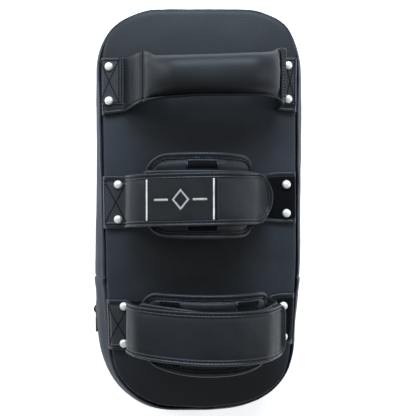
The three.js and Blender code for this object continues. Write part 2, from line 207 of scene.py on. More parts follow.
# A lighter copy of the strap leather for the flat riveted ends and the handle's patches: painted light,
# for the top light these flat parts catch.
ANCHOR_LIT = leather("anchor_lit_leather", (0.0232, 0.0252, 0.0282), 0.46)
BINDING = leather("binding_leather", (0.0105, 0.0125, 0.016), 0.38)
LINING = leather("lining_leather", (0.0095, 0.01, 0.012), 0.55, 0.7)
PILE = pile_fabric("loop_pile", (0.0012, 0.0013, 0.0016))
TAPE = woven("zip_tape", (0.004, 0.0045, 0.0055), 0.85, 2200)
LABEL = woven("label_satin", (0.0085, 0.009, 0.0098), 0.55, 2600)
LABEL_LINE = woven("label_line", (0.66, 0.66, 0.64), 0.6, 2600)
LABEL_GREY = woven("label_motif", (0.4, 0.4, 0.4), 0.6, 2600)
THREAD = woven("thread", (0.002, 0.0022, 0.0028), 0.6, 3000)
COIL = woven("zip_coil", (0.004, 0.0045, 0.005), 0.4, 2000)
NICKEL = metal("nickel", (0.86, 0.845, 0.79), 0.3)
BLACK_METAL = metal("black_metal", (0.03, 0.031, 0.034), 0.32)
FOAM = foam("core_foam", (0.17, 0.18, 0.2))
BOARD = woven("stiffener_board", (0.03, 0.03, 0.032), 0.7, 900)

# ---- meshes


def piece_of(name, vertices, faces, material, slot, body, replaces=()):
    """A smooth mesh from points in millimetres. body is None for a piece that is blended."""
    mesh = bpy.data.meshes.new(name)
    mesh.from_pydata([Vector(v) * MM for v in vertices], [], faces)
    mesh.materials.append(material)
    mesh.polygons.foreach_set("use_smooth", [True] * len(mesh.polygons))
    mesh.update()
    piece = bpy.data.objects.new(name, mesh)
    bpy.context.scene.collection.objects.link(piece)
    bpy.context.view_layer.objects.active = piece
    bpy.ops.object.mode_set(mode="EDIT")
    bpy.ops.mesh.select_all(action="SELECT")
    bpy.ops.mesh.normals_make_consistent(inside=False)
    bpy.ops.object.mode_set(mode="OBJECT")
    if replaces:
        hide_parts(*replaces)
    if body:
        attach(piece, body)
    return piece


def ring_points(side, across):
    """A closed outline from one long side, its mirror image, and straight ends."""
    mirror = [(u, -v) for u, v in side]

    def end(a, b):
        steps = [k / across for k in range(1, across)]
        return [(a[0] + (b[0] - a[0]) * t, a[1] + (b[1] - a[1]) * t) for t in steps]

    return side + end(side[-1], mirror[-1]) + mirror[::-1] + end(mirror[0], side[0])


def ease(t):
    """Eases from 0 to 1 as t does."""
    t = min(1.0, max(0.0, t))
    return t * t * (3 - 2 * t)


def hump(x, middle, width):
    return math.exp(-((x - middle) / width) ** 2)


def circle(count):
    """Even directions round a circle, as (cos, sin) pairs."""
    angles = [2 * math.pi * k / count for k in range(count)]
    return [(math.cos(angle), math.sin(angle)) for angle in angles]


def quads(rows, count, closed=False, ring=True):
    """Faces between rows of count points. A row is a ring unless ring is off, and the last row
    meets the first if closed is on."""
    faces = []
    for j in range(rows if closed else rows - 1):
        low, high = j * count, (j + 1) % rows * count
        for i in range(count if ring else count - 1):
            k = (i + 1) % count
            faces.append([low + i, low + k, high + k, high + i])
    return faces


def tube(rows, count):
    """Faces between rings of count points, with one more face at each end."""
    return quads(rows, count) + [[j * count + k for k in range(count)] for j in (0, rows - 1)]


def fill_grid(vertices, faces, start, side, across, height, place, crown, fade):
    """Closes the outline whose points begin at index start with a crowned grid."""
    last = len(side) - 1
    turn = last + across
    index = {}
    for c in range(last + 1):
        index[c, 0] = start + c
        index[c, across] = start + turn + last - c
    for k in range(1, across):
        index[last, k] = start + last + k
        index[0, k] = start + turn + last + across - k
    ends = [side[0][0], side[-1][0]]
    for c in range(1, last):
        u, v = side[c]
        reach = min(u - ends[0], ends[1] - u)
        for k in range(1, across):
            t = 2 * k / across - 1
            rise = crown * (1 - t * t) * ease(reach / fade)
            index[c, k] = len(vertices)
            vertices.append(place(u, -v * t, height + rise))
    for c in range(last):
        for k in range(across):
            faces.append([index[c, k], index[c + 1, k], index[c + 1, k + 1], index[c, k + 1]])


def ring_panel(side_at, place, outer, inner, across, crown=(0.0, 0.0), fade=20.0):
    """The points and faces of a closed panel. outer and inner list (inset, n) from the edge to
    the middle of each face, and crown is how much the two faces then rise."""
    levels = outer[::-1] + inner
    vertices = []
    for inset, n in levels:
        vertices += [place(u, v, n) for u, v in ring_points(side_at(inset), across)]
    count = len(vertices) // len(levels)
    faces = quads(len(levels), count)
    top, bottom = levels[0], levels[-1]
    fill_grid(vertices, faces, 0, side_at(top[0]), across, top[1], place, crown[0], fade)
    base = (len(levels) - 1) * count
    fill_grid(vertices, faces, base, side_at(bottom[0]), across, bottom[1], place, -crown[1], fade)
    return vertices, faces


def add_panel(name, side, place, levels, look, across=10, crown=(0.0, 0.0), fade=20.0):
    """A closed panel as a piece. levels is its (outer, inner), and look is what piece_of takes."""
    return piece_of(name, *ring_panel(side, place, *levels, across, crown, fade), *look)


def strip_side(start, end, half, corners, step, arc):
    """One long side of a strip from s=start to s=end, as a function of its inset. corners holds
    the radii at its two ends, and arc is the number of steps round each."""
    angles = [i / arc * math.pi / 2 for i in range(arc + 1)]
    quarter = [(math.cos(angle), math.sin(angle)) for angle in angles]

    def side(inset):
        low, high, wide = start + inset, end - inset, half - inset
        first, last = (max(0.05, r - inset) for r in corners)
        points = [(low + first * (1 - cos), first - wide - first * sin) for cos, sin in quarter]
        count = max(2, round((end - start) / step))
        a, b = low + first, high - last
        points += [(a + (b - a) * i / count, -wide) for i in range(1, count)]
        return points + [(high - last * (1 - sin), last - wide - last * cos) for cos, sin in quarter]

    return side


def turned(levels):
    """The other face of a strip with the same edge."""
    return [(inset, -n) for inset, n in levels[1:]]


def bead(points, radius, sides, closed=True):
    """A tube of points along a line; points are (position, outward) pairs in millimetres."""
    vertices = []
    count = len(points)
    for i, (at, out) in enumerate(points):
        before = points[i - 1 if closed or i else 0][0]
        after = points[(i + 1) % count if closed or i < count - 1 else i][0]
        along = (Vector(after) - Vector(before)).normalized()
        out = (Vector(out) - along * along.dot(Vector(out))).normalized()
        beside = along.cross(out)
        vertices += [Vector(at) + radius * (out * cos + beside * sin) for cos, sin in circle(sides)]
    return vertices, quads(count, sides, closed=True) if closed else tube(count, sides)


def joined(parts):
    """Several lots of (vertices, faces) as one."""
    vertices, faces = [], []
    for more_vertices, more_faces in parts:
        base = len(vertices)
        vertices += more_vertices
        faces += [[base + i for i in face] for face in more_faces]
    return vertices, faces


def stitch(a, b, out, radius):
    """One stitch from a to b, bowed a little out of the surface."""
    bow = ((0, -1), (0.18, 0.4), (0.5, 0.7), (0.82, 0.4), (1, -1))
    line = [(a.lerp(b, t) + out * (lift * radius), out) for t, lift in bow]
    return bead(line, radius, 5, closed=False)


# Kinds of stitch: pitch, length and thread radius.
EDGE_STITCH = (3.0, 2.3, 0.46)
END_STITCH = (3.0, 2.4, 0.45)
BOX_STITCH = (2.9, 2.4, 0.52)
HEM_STITCH = (3.0, 2.2, 0.36)
HANDLE_STITCH = (3.0, 2.2, 0.4)
COLUMN_STITCH = (2.8, 2.2, 0.52)
TAB_STITCH = (2.8, 2.1, 0.52)


def stitches(place, line, height, kind):
    """Stitches at even steps along a line of (u, v) points on a face at the given height."""
    pitch, length, radius = kind
    points, above, under = ([Vector(place(u, v, n)) for u, v in line]
                            for n in (height, height + 1, height - 1))
    outs = [(a - b).normalized() for a, b in zip(above, under)]
    parts = []
    due = 0.0
    travelled = 0.0
    for i in range(len(points) - 1):
        span = (points[i + 1] - points[i]).length
        if span < 1e-6:
            continue
        heading = (points[i + 1] - points[i]) / span
        while due <= travelled + span:
            at = points[i] + heading * (due - travelled)
            parts.append(stitch(at, at + heading * length, outs[i], radius))
            due += pitch
        travelled += span
    return joined(parts)


def sew(name, place, rows, slot, body, more=()):
    """Stitches as one piece. rows lists (lines, height, kind), and more holds other threads."""
    parts = [stitches(place, line, height, kind) for lines, height, kind in rows for line in lines]
    return piece_of(name, *joined(parts + list(more)), THREAD, slot, body)


def dense(a, b):
    """Points about 2 mm apart along a straight line."""
    count = max(1, round(math.dist(a, b) / 2))
    return [tuple(p + (q - p) * i / count for p, q in zip(a, b)) for i in range(count + 1)]


# ---- the padded body

HAND = {"x": 38.5, "y": 133.6, "r": 55.0}
ELBOW = {"x": 25.0, "y": -125.8, "r": 63.0}
ELBOW_STEPS, HAND_STEPS = 20, 18
SEAM_Y = -65.5  # the gusset's cross seam
ACROSS = 22

# How the sewn outline departs from a symmetrical one, by y.
SEAM_SHIFT = [(-200, 2.2), (-60, 2.5), (8, 1.6), (102, 0.6), (200, 0.6)]
SEAM_STRETCH = [(-200, 1.0), (-170, 1.0), (-124, 0.98), (-58, 1.016), (8, 1.012), (102, 1.0),
                (200, 1.0)]
GUSSET_LEAN = [(-200, -2.2), (-170, -2.9), (-132, -4.0), (-112, -5.0), (-84, -4.0), (-60, -3.6),
               (-30, -2.7), (9, -1.6), (100, -0.3), (200, 0.0)]
GUSSET_SWELL = [(-200, 9.8), (-150, 9.4), (-132, 10.4), (-108, 11.3), (-60, 10.8), (9, 9.4),
                (100, 8.8), (130, 8.2), (200, 9.6)]
# How far the hand end's edge is drawn in, by the distance from the middle.
HAND_CROWN = [(0, 0.9), (45, 1.3), (62, 2.0), (72, 1.6), (82, 0.3), (95, 0.0)]


def profile(x, table):
    """A smooth curve through a table of (x, value) points."""
    if x <= table[0][0]:
        return table[0][1]
    if x >= table[-1][0]:
        return table[-1][1]
    i = max(k for k in range(len(table) - 1) if table[k][0] <= x)

    def slope(k):
        if k in (0, len(table) - 1):
            return 0.0
        return (table[k + 1][1] - table[k - 1][1]) / (table[k + 1][0] - table[k - 1][0])

    (x0, y0), (x1, y1) = table[i], table[i + 1]
    wide = x1 - x0
    t = (x - x0) / wide
    return (y0 * (1 + 2 * t) * (1 - t) ** 2 + slope(i) * wide * t * (1 - t) ** 2
            + y1 * t * t * (3 - 2 * t) + slope(i + 1) * wide * t * t * (t - 1))


def straight_half(y):
    """Half the outline's width between the corners."""
    share = (y - ELBOW["y"]) / (HAND["y"] - ELBOW["y"])
    return ELBOW["x"] + ELBOW["r"] + (HAND["x"] + HAND["r"] - ELBOW["x"] - ELBOW["r"]) * share


def body_side(inset):
    """The left side of the outline, from the elbow end to the hand end, with y as u. Its points
    crowd round the cross seam."""
    points = []
    reach = ELBOW["r"] - inset
    for i in range(ELBOW_STEPS + 1):
        angle = math.pi / 2 * (1 - i / ELBOW_STEPS)
        points.append((ELBOW["y"] - reach * math.sin(angle), -ELBOW["x"] - reach * math.cos(angle)))
    stops = [-122, -117, -112, -107, -102, -97, -92, -88, -84, -79, -74, -70, -67.6, -66.4, -65.9,
             -65.5, -65.1, -64.6, -63.4, -61, -57]
    stops += [-52 + 5.2 * i for i in range(36)]
    points += [(y, inset - straight_half(y)) for y in stops if y < HAND["y"] - 2]
    reach = HAND["r"] - inset
    for i in range(HAND_STEPS + 1):
        angle = math.pi / 2 * i / HAND_STEPS
        points.append((HAND["y"] + reach * math.sin(angle), -HAND["x"] - reach * math.cos(angle)))
    return points


def sewn(u, v):
    """Where an outline point lands on the sewn pad, as x and y. The hand end's corners are a
    little squarer than a circle, and the elbow end's right one is rounder."""
    x = v * profile(u, SEAM_STRETCH) + profile(u, SEAM_SHIFT)
    y = u
    if u > HAND["y"]:
        out_x, out_y = abs(v) - HAND["x"], u - HAND["y"]
        if out_x > 0:
            turn = math.degrees(math.atan2(out_y, out_x))
            push = (3.4 if v > 0 else 1.4) * hump(turn, 50, 22)
            push *= min(1.0, math.hypot(out_x, out_y) / HAND["r"])
            x += math.copysign(push * math.cos(math.radians(turn)), v)
            y += push * math.sin(math.radians(turn))
    y -= profile(abs(v), HAND_CROWN) * ease((u - HAND["y"]) / 30)
    y += (2.2 * ease(v / 50) + hump(v, 32, 18)) * ease((-150 - u) / 30)
    return x, y


def body_place(u, v, n):
    return (*sewn(u, v), n)


def wander(x, y, z, size, amount):
    return amount * noise.noise(Vector((x / size, y / size, z / size)))


def add_back_panel():
    """The back panel. Round the hand end, and at the right of the elbow end, its edge rolls out
    over the seam and hides it."""
    def place(u, v, n):
        lift = ease((n - 93.5) / 1.5) * (wander(v, u, 3, 45, 0.6) + wander(v, u, 8, 14, 0.15))
        x, y = sewn(u, v)
        end, far = (HAND, 1.7 * ease((u - 132) / 26)) if u > 0 else (
            ELBOW, 1.3 * ease((-140 - u) / 28) * ease((v + 30) / 35))
        roll = far * ease((95.4 - n) / 1.8) * ease((n - 88.5) / 1.5)
        along = math.copysign(max(0.0, abs(u) - abs(end["y"])) + 1, u)
        out = Vector((math.copysign(max(0.0, abs(v) - end["x"]), v), along)).normalized()
        return x + roll * out.x, y + roll * out.y, n + lift

    top = [(4.5, 88.0), (2.6, 88.2), (1.8, 89.2), (1.5, 90.6), (1.55, 91.7), (1.9, 92.5), (2.7, 93.15),
           (4.2, 93.5), (6.5, 93.75), (9.5, 94.0), (14, 94.4), (20, 94.85), (28, 95.3), (38, 95.7),
           (48, 96.0)]
    under = [(8, 88.0), (30, 88.0)]
    look = (PANEL, "panel_leather", "pad", ["back_cover"])
    panel = add_panel("back_panel", body_side, place, (top, under), look, ACROSS, (0.6, 0), 40)


def add_striking_panel():
    top = [(1.0, 9.8), (-0.7, 9.3), (-1.5, 8.4), (-1.6, 7.2), (-1.0, 5.6), (0.6, 3.9), (3, 2.4),
           (6.5, 1.2), (11, 0.5), (17, 0.12), (28, 0.0), (48, 0.0)]
    under = [(3.0, 10.0), (9, 10.1), (30, 10.1)]
    look = (PANEL, "panel_leather", "pad", ["front_cover"])
    panel = add_panel("striking_panel", body_side, body_place, (top, under), look, ACROSS, (0, 0), 40)


GUSSET_MIDDLE, GUSSET_HALF = 47, 43.5
LOW_SEAM_Z, HIGH_SEAM_Z = 12, 88
ZIP_Z = 46.0
ZIP_FROM = -88.0


def gusset_point(u, v, z, depth):
    """How far a point of the gusset stands out of the outline, and how far it leans."""
    share = max(0.0, 1 - ((z - GUSSET_MIDDLE) / GUSSET_HALF) ** 2)
    swell = profile(u, GUSSET_SWELL) * share
    lean = profile(u, GUSSET_LEAN) * share ** 0.8
    swell += 1.7 * hump(z, 90, 5) + 0.8 * hump(z, 10, 4)
    near_seam = math.exp(-min(abs(z - HIGH_SEAM_Z), abs(z - LOW_SEAM_Z)) / 7)
    swell += wander(v, u, z, 16, 0.3) + wander(v, u, 50, 9, 0.45) * near_seam
    swell += wander(v, u, z, 60, 0.8)
    if abs(v) > 80:
        dip = hump(u, SEAM_Y, 0.9)
        overlap = 0.8 * ease((SEAM_Y + 0.5 - u) / 0.8) * ease((u - SEAM_Y + 14) / 10)
        swell += (overlap - 1.1 * dip) * (0.6 if v > 0 else 1)
    in_zip = ease((ZIP_FROM - u) / 6)
    away = abs(z - ZIP_Z)
    lip = 0.55 * hump(away, 5.4, 1.3)
    swell += in_zip * (lip - 1.9 * ease((4.9 - away) / 1.2))
    return swell - depth, lean


def gusset_at(base, i, z, depth):
    """The place of outline point i on the gusset, depth under its surface at height z."""
    u, v = base[i]
    swell, lean = gusset_point(u, v, z, depth)
    before, after = base[i - 1], base[(i + 1) % len(base)]
    along = Vector((after[1] - before[1], after[0] - before[0])).normalized()
    x, y = sewn(u, v)
    return Vector((x - along.y * swell + lean, y + along.x * swell, z))


def add_gusset():
    """The gusset's skin, from the striking panel's seam up to the back panel's, and back inside."""
    heights = [8.9, 9.3, 9.9, 10.8, 12.2, 14.5, 18, 22, 26, 30, 34, 37.5, 39.5, 40.6, 41.2, 42, 43.5,
               46, 48.5, 50, 50.8, 51.4, 52.5, 55, 60, 65, 70, 74, 78, 81.5, 84.5, 86.8, 88.6, 90.0]
    tuck = {8.9: 3.2, 9.3: 1.9, 9.9: 0.8, 10.8: 0.2, 90.0: 0.1}
    rings = [(z, tuck.get(z, 0.0)) for z in heights]
    rings += [(90.8, 0.5), (91.05, 1.0), (90.8, 1.5), (89.8, 1.75), (87.5, 2.6), (70, 4), (47, 4),
              (26, 4), (10.2, 3.6)]
    base = ring_points(body_side(0), ACROSS)
    vertices = [gusset_at(base, i, z, depth) for z, depth in rings for i in range(len(base))]
    faces = quads(len(rings), len(base), closed=True)
    replaced = ["gusset_hand_end", "gusset_elbow_end"]
    gusset = piece_of("gusset_skin", vertices, faces, GUSSET, "gusset_leather", "pad", replaced)


def zip_line(z, depth):
    """Points round the elbow end along the zip, from the left side to the right, as pairs of a
    place and the direction out of the pad there."""
    base = ring_points(body_side(0), ACROSS)
    elbow = [i for i, (u, v) in enumerate(base) if u < ZIP_FROM - 3]
    wrap = next((k for k in range(1, len(elbow)) if elbow[k] != elbow[k - 1] + 1), 0)
    elbow = elbow[wrap:] + elbow[:wrap]
    line = []
    for i in elbow:
        at = gusset_at(base, i, z, depth)
        line.append((at, gusset_at(base, i, z, depth - 1) - at))
    return line


def add_zip():
    """Two woven tapes in the slot, with a coil of fine loops between them."""
    for name, low, high in (("zip_tape_lower", 41.4, 45.6), ("zip_tape_upper", 46.4, 50.6)):
        rails = [zip_line(z, d) for z, d in ((low, 0.3), (low, -0.35), (high, -0.35), (high, 0.3))]
        count = len(rails[0])
        vertices = [at for rail in rails for at, _ in rail]
        faces = quads(4, count, closed=True, ring=False)
        faces += [[r * count + end for r in range(4)] for end in (0, count - 1)]
        node = "zip_tape_front" if low < 44 else "zip_tape_back"
        piece_of(name, vertices, faces, TAPE, "zip_tape", "pad", [node])
    line = zip_line(ZIP_Z, 0.0)
    pitch = 1.5
    parts = []
    due = 0.0
    for (a, out_a), (b, out_b) in zip(line, line[1:]):
        span = (b - a).length
        while due < span:
            at = a.lerp(b, due / span)
            out = out_a.lerp(out_b, due / span).normalized()
            tooth = [(at + Vector((0, 0, s * 1.7)) + out * lift, out) for s, lift in
                     ((-1, 0.1), (-0.6, 0.75), (0, 0.95), (0.6, 0.75), (1, 0.1))]
            parts.append(bead(tooth, 0.5, 6, closed=False))
            due += pitch
        due -= span
    piece_of("zip_teeth", *joined(parts), COIL, "zip_tape", "pad", ["zip_coil"])


# ---- straps


def tucked(x, y, z):
    """Bends the riveted end of a strap down into the seam at the pad's edge."""
    shift = profile(y, SEAM_SHIFT)
    edge = straight_half(min(y, HAND["y"])) * profile(y, SEAM_STRETCH) - 3.0
    over = abs(x - shift) - edge
    if over > 0 and z < BACK + 12:
        x = shift + math.copysign(edge + 0.5 * over, x)
        z -= 0.85 * over
    return x, y, z


class Ribbon:
    """A smooth line through (x, h) points that a strap follows, h being the height over the back
    panel. centre gives the strap's y at a length s along it, and widen scales distances across."""

    STEPS = 12

    def __init__(self, points, centre, widen=lambda s: 1.0):
        self.line = []
        for i in range(len(points) - 1):
            p = [points[max(0, i - 1)], points[i], points[i + 1], points[min(len(points) - 1, i + 2)]]
            self.line += [self.spline(p, step / self.STEPS) for step in range(self.STEPS)]
        self.line.append(points[-1])
        self.lengths = [0.0]
        for a, b in zip(self.line, self.line[1:]):
            self.lengths.append(self.lengths[-1] + math.dist(a, b))
        self.length = self.lengths[-1]
        self.centre = centre
        self.widen = widen

    @staticmethod
    def spline(p, t):
        def one(a, b, c, d):
            return 0.5 * (2 * b + (c - a) * t + (2 * a - 5 * b + 4 * c - d) * t * t
                          + (3 * b - a - 3 * c + d) * t ** 3)

        return tuple(one(*(q[axis] for q in p)) for axis in (0, 1))

    def s_of(self, i):
        """The length at which the line passes its point number i."""
        return self.lengths[self.STEPS * i]

    def point(self, s):
        i = 0
        while i < len(self.lengths) - 2 and self.lengths[i + 1] < s:
            i += 1
        t = (s - self.lengths[i]) / (self.lengths[i + 1] - self.lengths[i])
        a, b = self.line[i], self.line[i + 1]
        return a[0] + (b[0] - a[0]) * t, a[1] + (b[1] - a[1]) * t

    def offset(self, s, n):
        """The (x, h) point at a distance n outside the line."""
        x, h = self.point(s)
        a, b = self.point(s - 1.2), self.point(s + 1.2)
        size = math.dist(a, b)
        return x - (b[1] - a[1]) / size * n, h + (b[0] - a[0]) / size * n

    def place(self, s, y, n):
        x, h = self.offset(s, n)
        return tucked(x, self.centre(s) + y * self.widen(s), BACK + h)

    def s_at_x(self, x, from_s=0.0):
        s = from_s
        while s < self.length and self.point(s)[0] < x:
            s += 0.5
        return s


MID_BASE = [(-93, 2.3), (-78, 2.4), (-68, 3), (-63.8, 9), (-65.3, 19), (-64.4, 28)]
MID_REST = [(-63.4, 32), (-58.8, 40), (-48, 49), (-26, 55.5), (2, 57), (30, 50.5), (48, 36),
            (57, 20), (62.8, 10.8), (69.6, 8.2)]
LOW_BASE = [(-91, 2.3), (-72, 2.4), (-60, 2.8), (-56, 8), (-60.2, 19), (-62.6, 25), (-63.3, 30.5)]
LOW_REST = [(-63.2, 35), (-61, 43), (-51, 55), (-28, 63), (4, 66), (36, 62), (58.5, 50),
            (68.6, 36), (72.6, 27), (75.0, 21.5), (79.6, 17.2)]
WIDE = 47.5
STRAP_HALF_THICK = 1.75
FLAT_END = -66.5


def strap_ribbon(base, rest, anchor_y, y, drift, sway, widths):
    """The line of an outer strap, and the length at which it comes free of the pad. widths
    lists the strap's width by the distance from there."""
    plain = Ribbon(base + rest, lambda s: y)
    free = plain.s_of(len(base))

    def centre(s):
        t = max(0.0, (s - free) / (plain.length - free))
        fold = ease((s - free + 26) / 22)
        return anchor_y + (y - anchor_y) * fold + drift * t + sway * math.sin(math.pi * t)

    return Ribbon(base + rest, centre, lambda s: profile(s - free, widths) / WIDE), free


def box_lines(left, right, half):
    """The lines of a stitched box with a cross in it, as (s, y) points."""
    corners = [(left, -half), (right, -half), (right, half), (left, half), (left, -half)]
    lines = [dense(p, q) for p, q in zip(corners, corners[1:])]
    return lines + [dense((left, -half), (right, half)), dense((left, half), (right, -half))]


def edge_lines(side, inset, keep=lambda s, y: True, across=10):
    """The parts of the outline at one inset that keep accepts, by s and y."""
    loop = ring_points(side(inset), across)
    lines = [[]]
    for s, y in loop + loop[:1]:
        if keep(s, y):
            lines[-1].append((s, y))
        elif lines[-1]:
            lines.append([])
    return [line for line in lines if len(line) > 1]


def paint_rings(piece, side, across, wanted, material):
    """Gives some faces another material. wanted takes the number of the face's outline ring,
    counted from the middle of the top face, its s, and the face. Faces inside the rings have
    numbers past the last ring, and no real s."""
    piece.data.materials.append(material)
    loop = ring_points(side(0), across)
    for polygon in piece.data.polygons:
        first = min(polygon.vertices)
        if wanted(first // len(loop), loop[first % len(loop)][0], polygon):
            polygon.material_index = len(piece.data.materials) - 1


BOUND_EDGE = [(0.0, 0.0), (0.1, 1.2), (0.4, 2.0), (1.0, 2.6), (1.8, 2.65), (2.5, 2.15), (3.0, 1.6),
              (3.5, 1.55), (4.1, 2.1), (4.7, 2.3), (5.15, 1.95), (5.35, 1.3), (5.9, 1.35), (7.5, 1.7)]


def add_outer_strap(name, ribbon, free, corner):
    """An outer strap in one piece, from its riveted end to its tip. Its edge is bound from the
    fold onwards, and the flat end before that is stitched down with a box and a cross."""
    half = WIDE / 2
    side = strip_side(0, ribbon.length, half, (1.0, corner), 2.2, 10)
    fold = free - 24

    def place(s, y, n):
        bound = ease((s - fold) / 5)
        flat = max(-STRAP_HALF_THICK, min(STRAP_HALF_THICK, n))
        ripple = wander(s, y, 2, 17, 0.35) + wander(s, y, 7, 5, 0.14)
        return ribbon.place(s, y, flat + (n - flat) * bound + ripple)

    look = (STRAP, "strap_leather", None, [f"{name}_strap_base", f"{name}_strap"])
    levels = (BOUND_EDGE, turned(BOUND_EDGE))
    strap = add_panel(f"{name}_outer_strap", side, place, levels, look, 10, (0.3, 0.0), 12)
    last = 2 * len(BOUND_EDGE) - 4
    paint_rings(strap, side, 10, lambda ring, s, face: 2 <= ring < last and s > fold, BINDING)
    # the flat end gets the lighter copy of the strap leather: painted light
    paint_rings(strap, side, 10, lambda ring, s, face: face.center.x < FLAT_END * MM, ANCHOR_LIT)
    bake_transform(strap)

    rows = [(edge_lines(side, 3.3, lambda s, y: s > fold + 2), 1.5, EDGE_STITCH),
            (edge_lines(side, 1.8, lambda s, y: 4 < s < fold), 1.75, END_STITCH),
            (box_lines(4, 26.5, half - 3.6), 1.75, BOX_STITCH)]
    thread = sew(f"{name}_strap_stitches", place, rows, "strap_leather", None)
    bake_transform(thread)
    return place


def add_label(place, ribbon, free):
    """A plain woven label with a pale line down each side, and a lozenge between two bars."""
    half = 18.4

    def s_at(x):
        return ribbon.s_at_x(x, free)

    def strip(name, left, right, half_high, low, high, material):
        side = strip_side(s_at(left), s_at(right), half_high, (0.3, 0.3), 1.6, 2)
        levels = [(0, low), (0.08, high - 0.15), (0.3, high), (0.8, high)]
        under = [(0.2, low - 0.3), (0.8, low - 0.3)]
        look = (material, "label", "mid_strap", ["mid_label"] if name == "label_ground" else [])
        add_panel(name, side, place, (levels, under), look)

    strip("label_ground", -47.6, 16.8, half, 1.5, 2.15, LABEL)
    # a near-black strip where the label meets its fold: painted shade in the gap
    strip("label_gap_shade", 14.3, 15.4, half, 2.0, 2.3, THREAD)
    strip("label_fold", 15.4, 16.8, half, 1.9, 2.9, BINDING)
    strip("label_line_left", -45.9, -44.4, half - 0.2, 2.1, 2.45, LABEL_LINE)
    strip("label_line_right", 12.3, 13.8, half - 0.2, 2.1, 2.45, LABEL_LINE)
    strip("label_bar_left", -39.0, -26.5, 1.0, 2.1, 2.4, LABEL_GREY)
    strip("label_bar_right", -5.5, 7.0, 1.0, 2.1, 2.4, LABEL_GREY)

    middle = s_at(-16)
    corners = [(1, 0), (0, 1), (-1, 0), (0, -1)]
    steps, stretch = 6, 1.25
    vertices = []
    for reach, n in ((7.6, 2.1), (7.6, 2.4), (5.6, 2.4), (5.6, 2.1)):
        for (a, b), (c, d) in zip(corners, corners[1:] + corners[:1]):
            for t in (step / steps for step in range(steps)):
                s, y = a + (c - a) * t, b + (d - b) * t
                vertices.append(place(middle + reach * s, stretch * reach * y, n))
    faces = quads(4, 4 * steps, closed=True)
    piece_of("label_lozenge", vertices, faces, LABEL_GREY, "label", "mid_strap")


# ---- counter straps and cushions

HEM = [(0.0, 0.0), (0.1, 0.7), (0.4, 1.15), (1.1, 1.5), (2.4, 1.5), (3.1, 1.15), (3.6, 0.95),
       (4.3, 1.15), (6, 1.2)]


def counter_ribbon(base, rest, start, span, tail, sway):
    """The line of a counter strap: under the outer strap for a share of its free length, and
    then down to the pad. sway gives its y by the share of its own length."""
    strap = Ribbon(base + rest, lambda s: 0.0)
    free = strap.s_of(len(base)) - start
    reach = strap.length - free
    count, gap = 9, 4.9
    stops = [span[0] + (span[1] - span[0]) * i / count for i in range(count + 1)]
    points = [strap.offset(free + reach * t, -gap) for t in stops] + tail
    length = Ribbon(points, lambda s: 0.0).length
    return Ribbon(points, lambda s: profile(s / length, sway),
                  lambda s: 1 + 0.06 * ease((s - length + 34) / 20))


def add_counter(name, ribbon):
    """A hemmed counter strap with loop pile along the half that the outer strap closes onto."""
    side = strip_side(0, ribbon.length, 23, (5.0, 1.0), 2.4, 6)

    def place(s, y, n):
        return ribbon.place(s, y, n + wander(s, y, 5, 15, 0.3) + wander(s, y, 3, 5, 0.12))

    look = (STRAP, "counter_strap", None, [f"{name}_counter_strap", f"{name}_counter_base"])
    strap = add_panel(f"{name}_inner_strap", side, place, (HEM, turned(HEM)), look)
    paint_rings(strap, side, 10, lambda ring, s, face: 2 <= ring < 2 * len(HEM) - 4, BINDING)
    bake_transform(strap)
    rows = [(edge_lines(side, 3.5), 1.0, HEM_STITCH)]
    thread = sew(f"{name}_inner_stitches", place, rows, "counter_strap", None)
    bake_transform(thread)

    pile_side = strip_side(0.42 * ribbon.length, ribbon.length - 0.6, 18.7, (1, 1), 2.4, 3)

    def shaggy(s, y, n):
        return place(s, y, n + (wander(s, y, 9, 1.6, 0.35) if n > 1.5 else 0))

    levels = [(0, 1.0), (0.1, 1.4), (0.5, 1.7), (1.5, 1.75)]
    look = (PILE, "hook_and_loop", None, [f"{name}_loop_patch"])
    pile = add_panel(f"{name}_pile", pile_side, shaggy, (levels, [(0.3, 0.8), (2, 0.8)]), look, 20)
    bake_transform(pile)


CUSHION_TOP = [(0.0, 0.0), (0.12, 1.2), (0.6, 2.3), (1.5, 3.0), (2.6, 2.8), (3.4, 2.0), (4.1, 1.6),
               (4.9, 1.7), (5.4, 2.0), (5.75, 1.6), (5.95, 0.8), (6.5, 0.8), (7.4, 1.9), (9.5, 3.3),
               (13, 4.4), (18, 5.0), (22, 5.2)]
CUSHION_UNDER = [(0.12, -1.3), (0.6, -2.4), (1.5, -3.0), (2.8, -3.1), (3.8, -3.2), (4.6, -4.2),
                 (6, -6.3), (8.5, -8.2), (12, -9.3), (17, -9.9), (21, -10.1)]


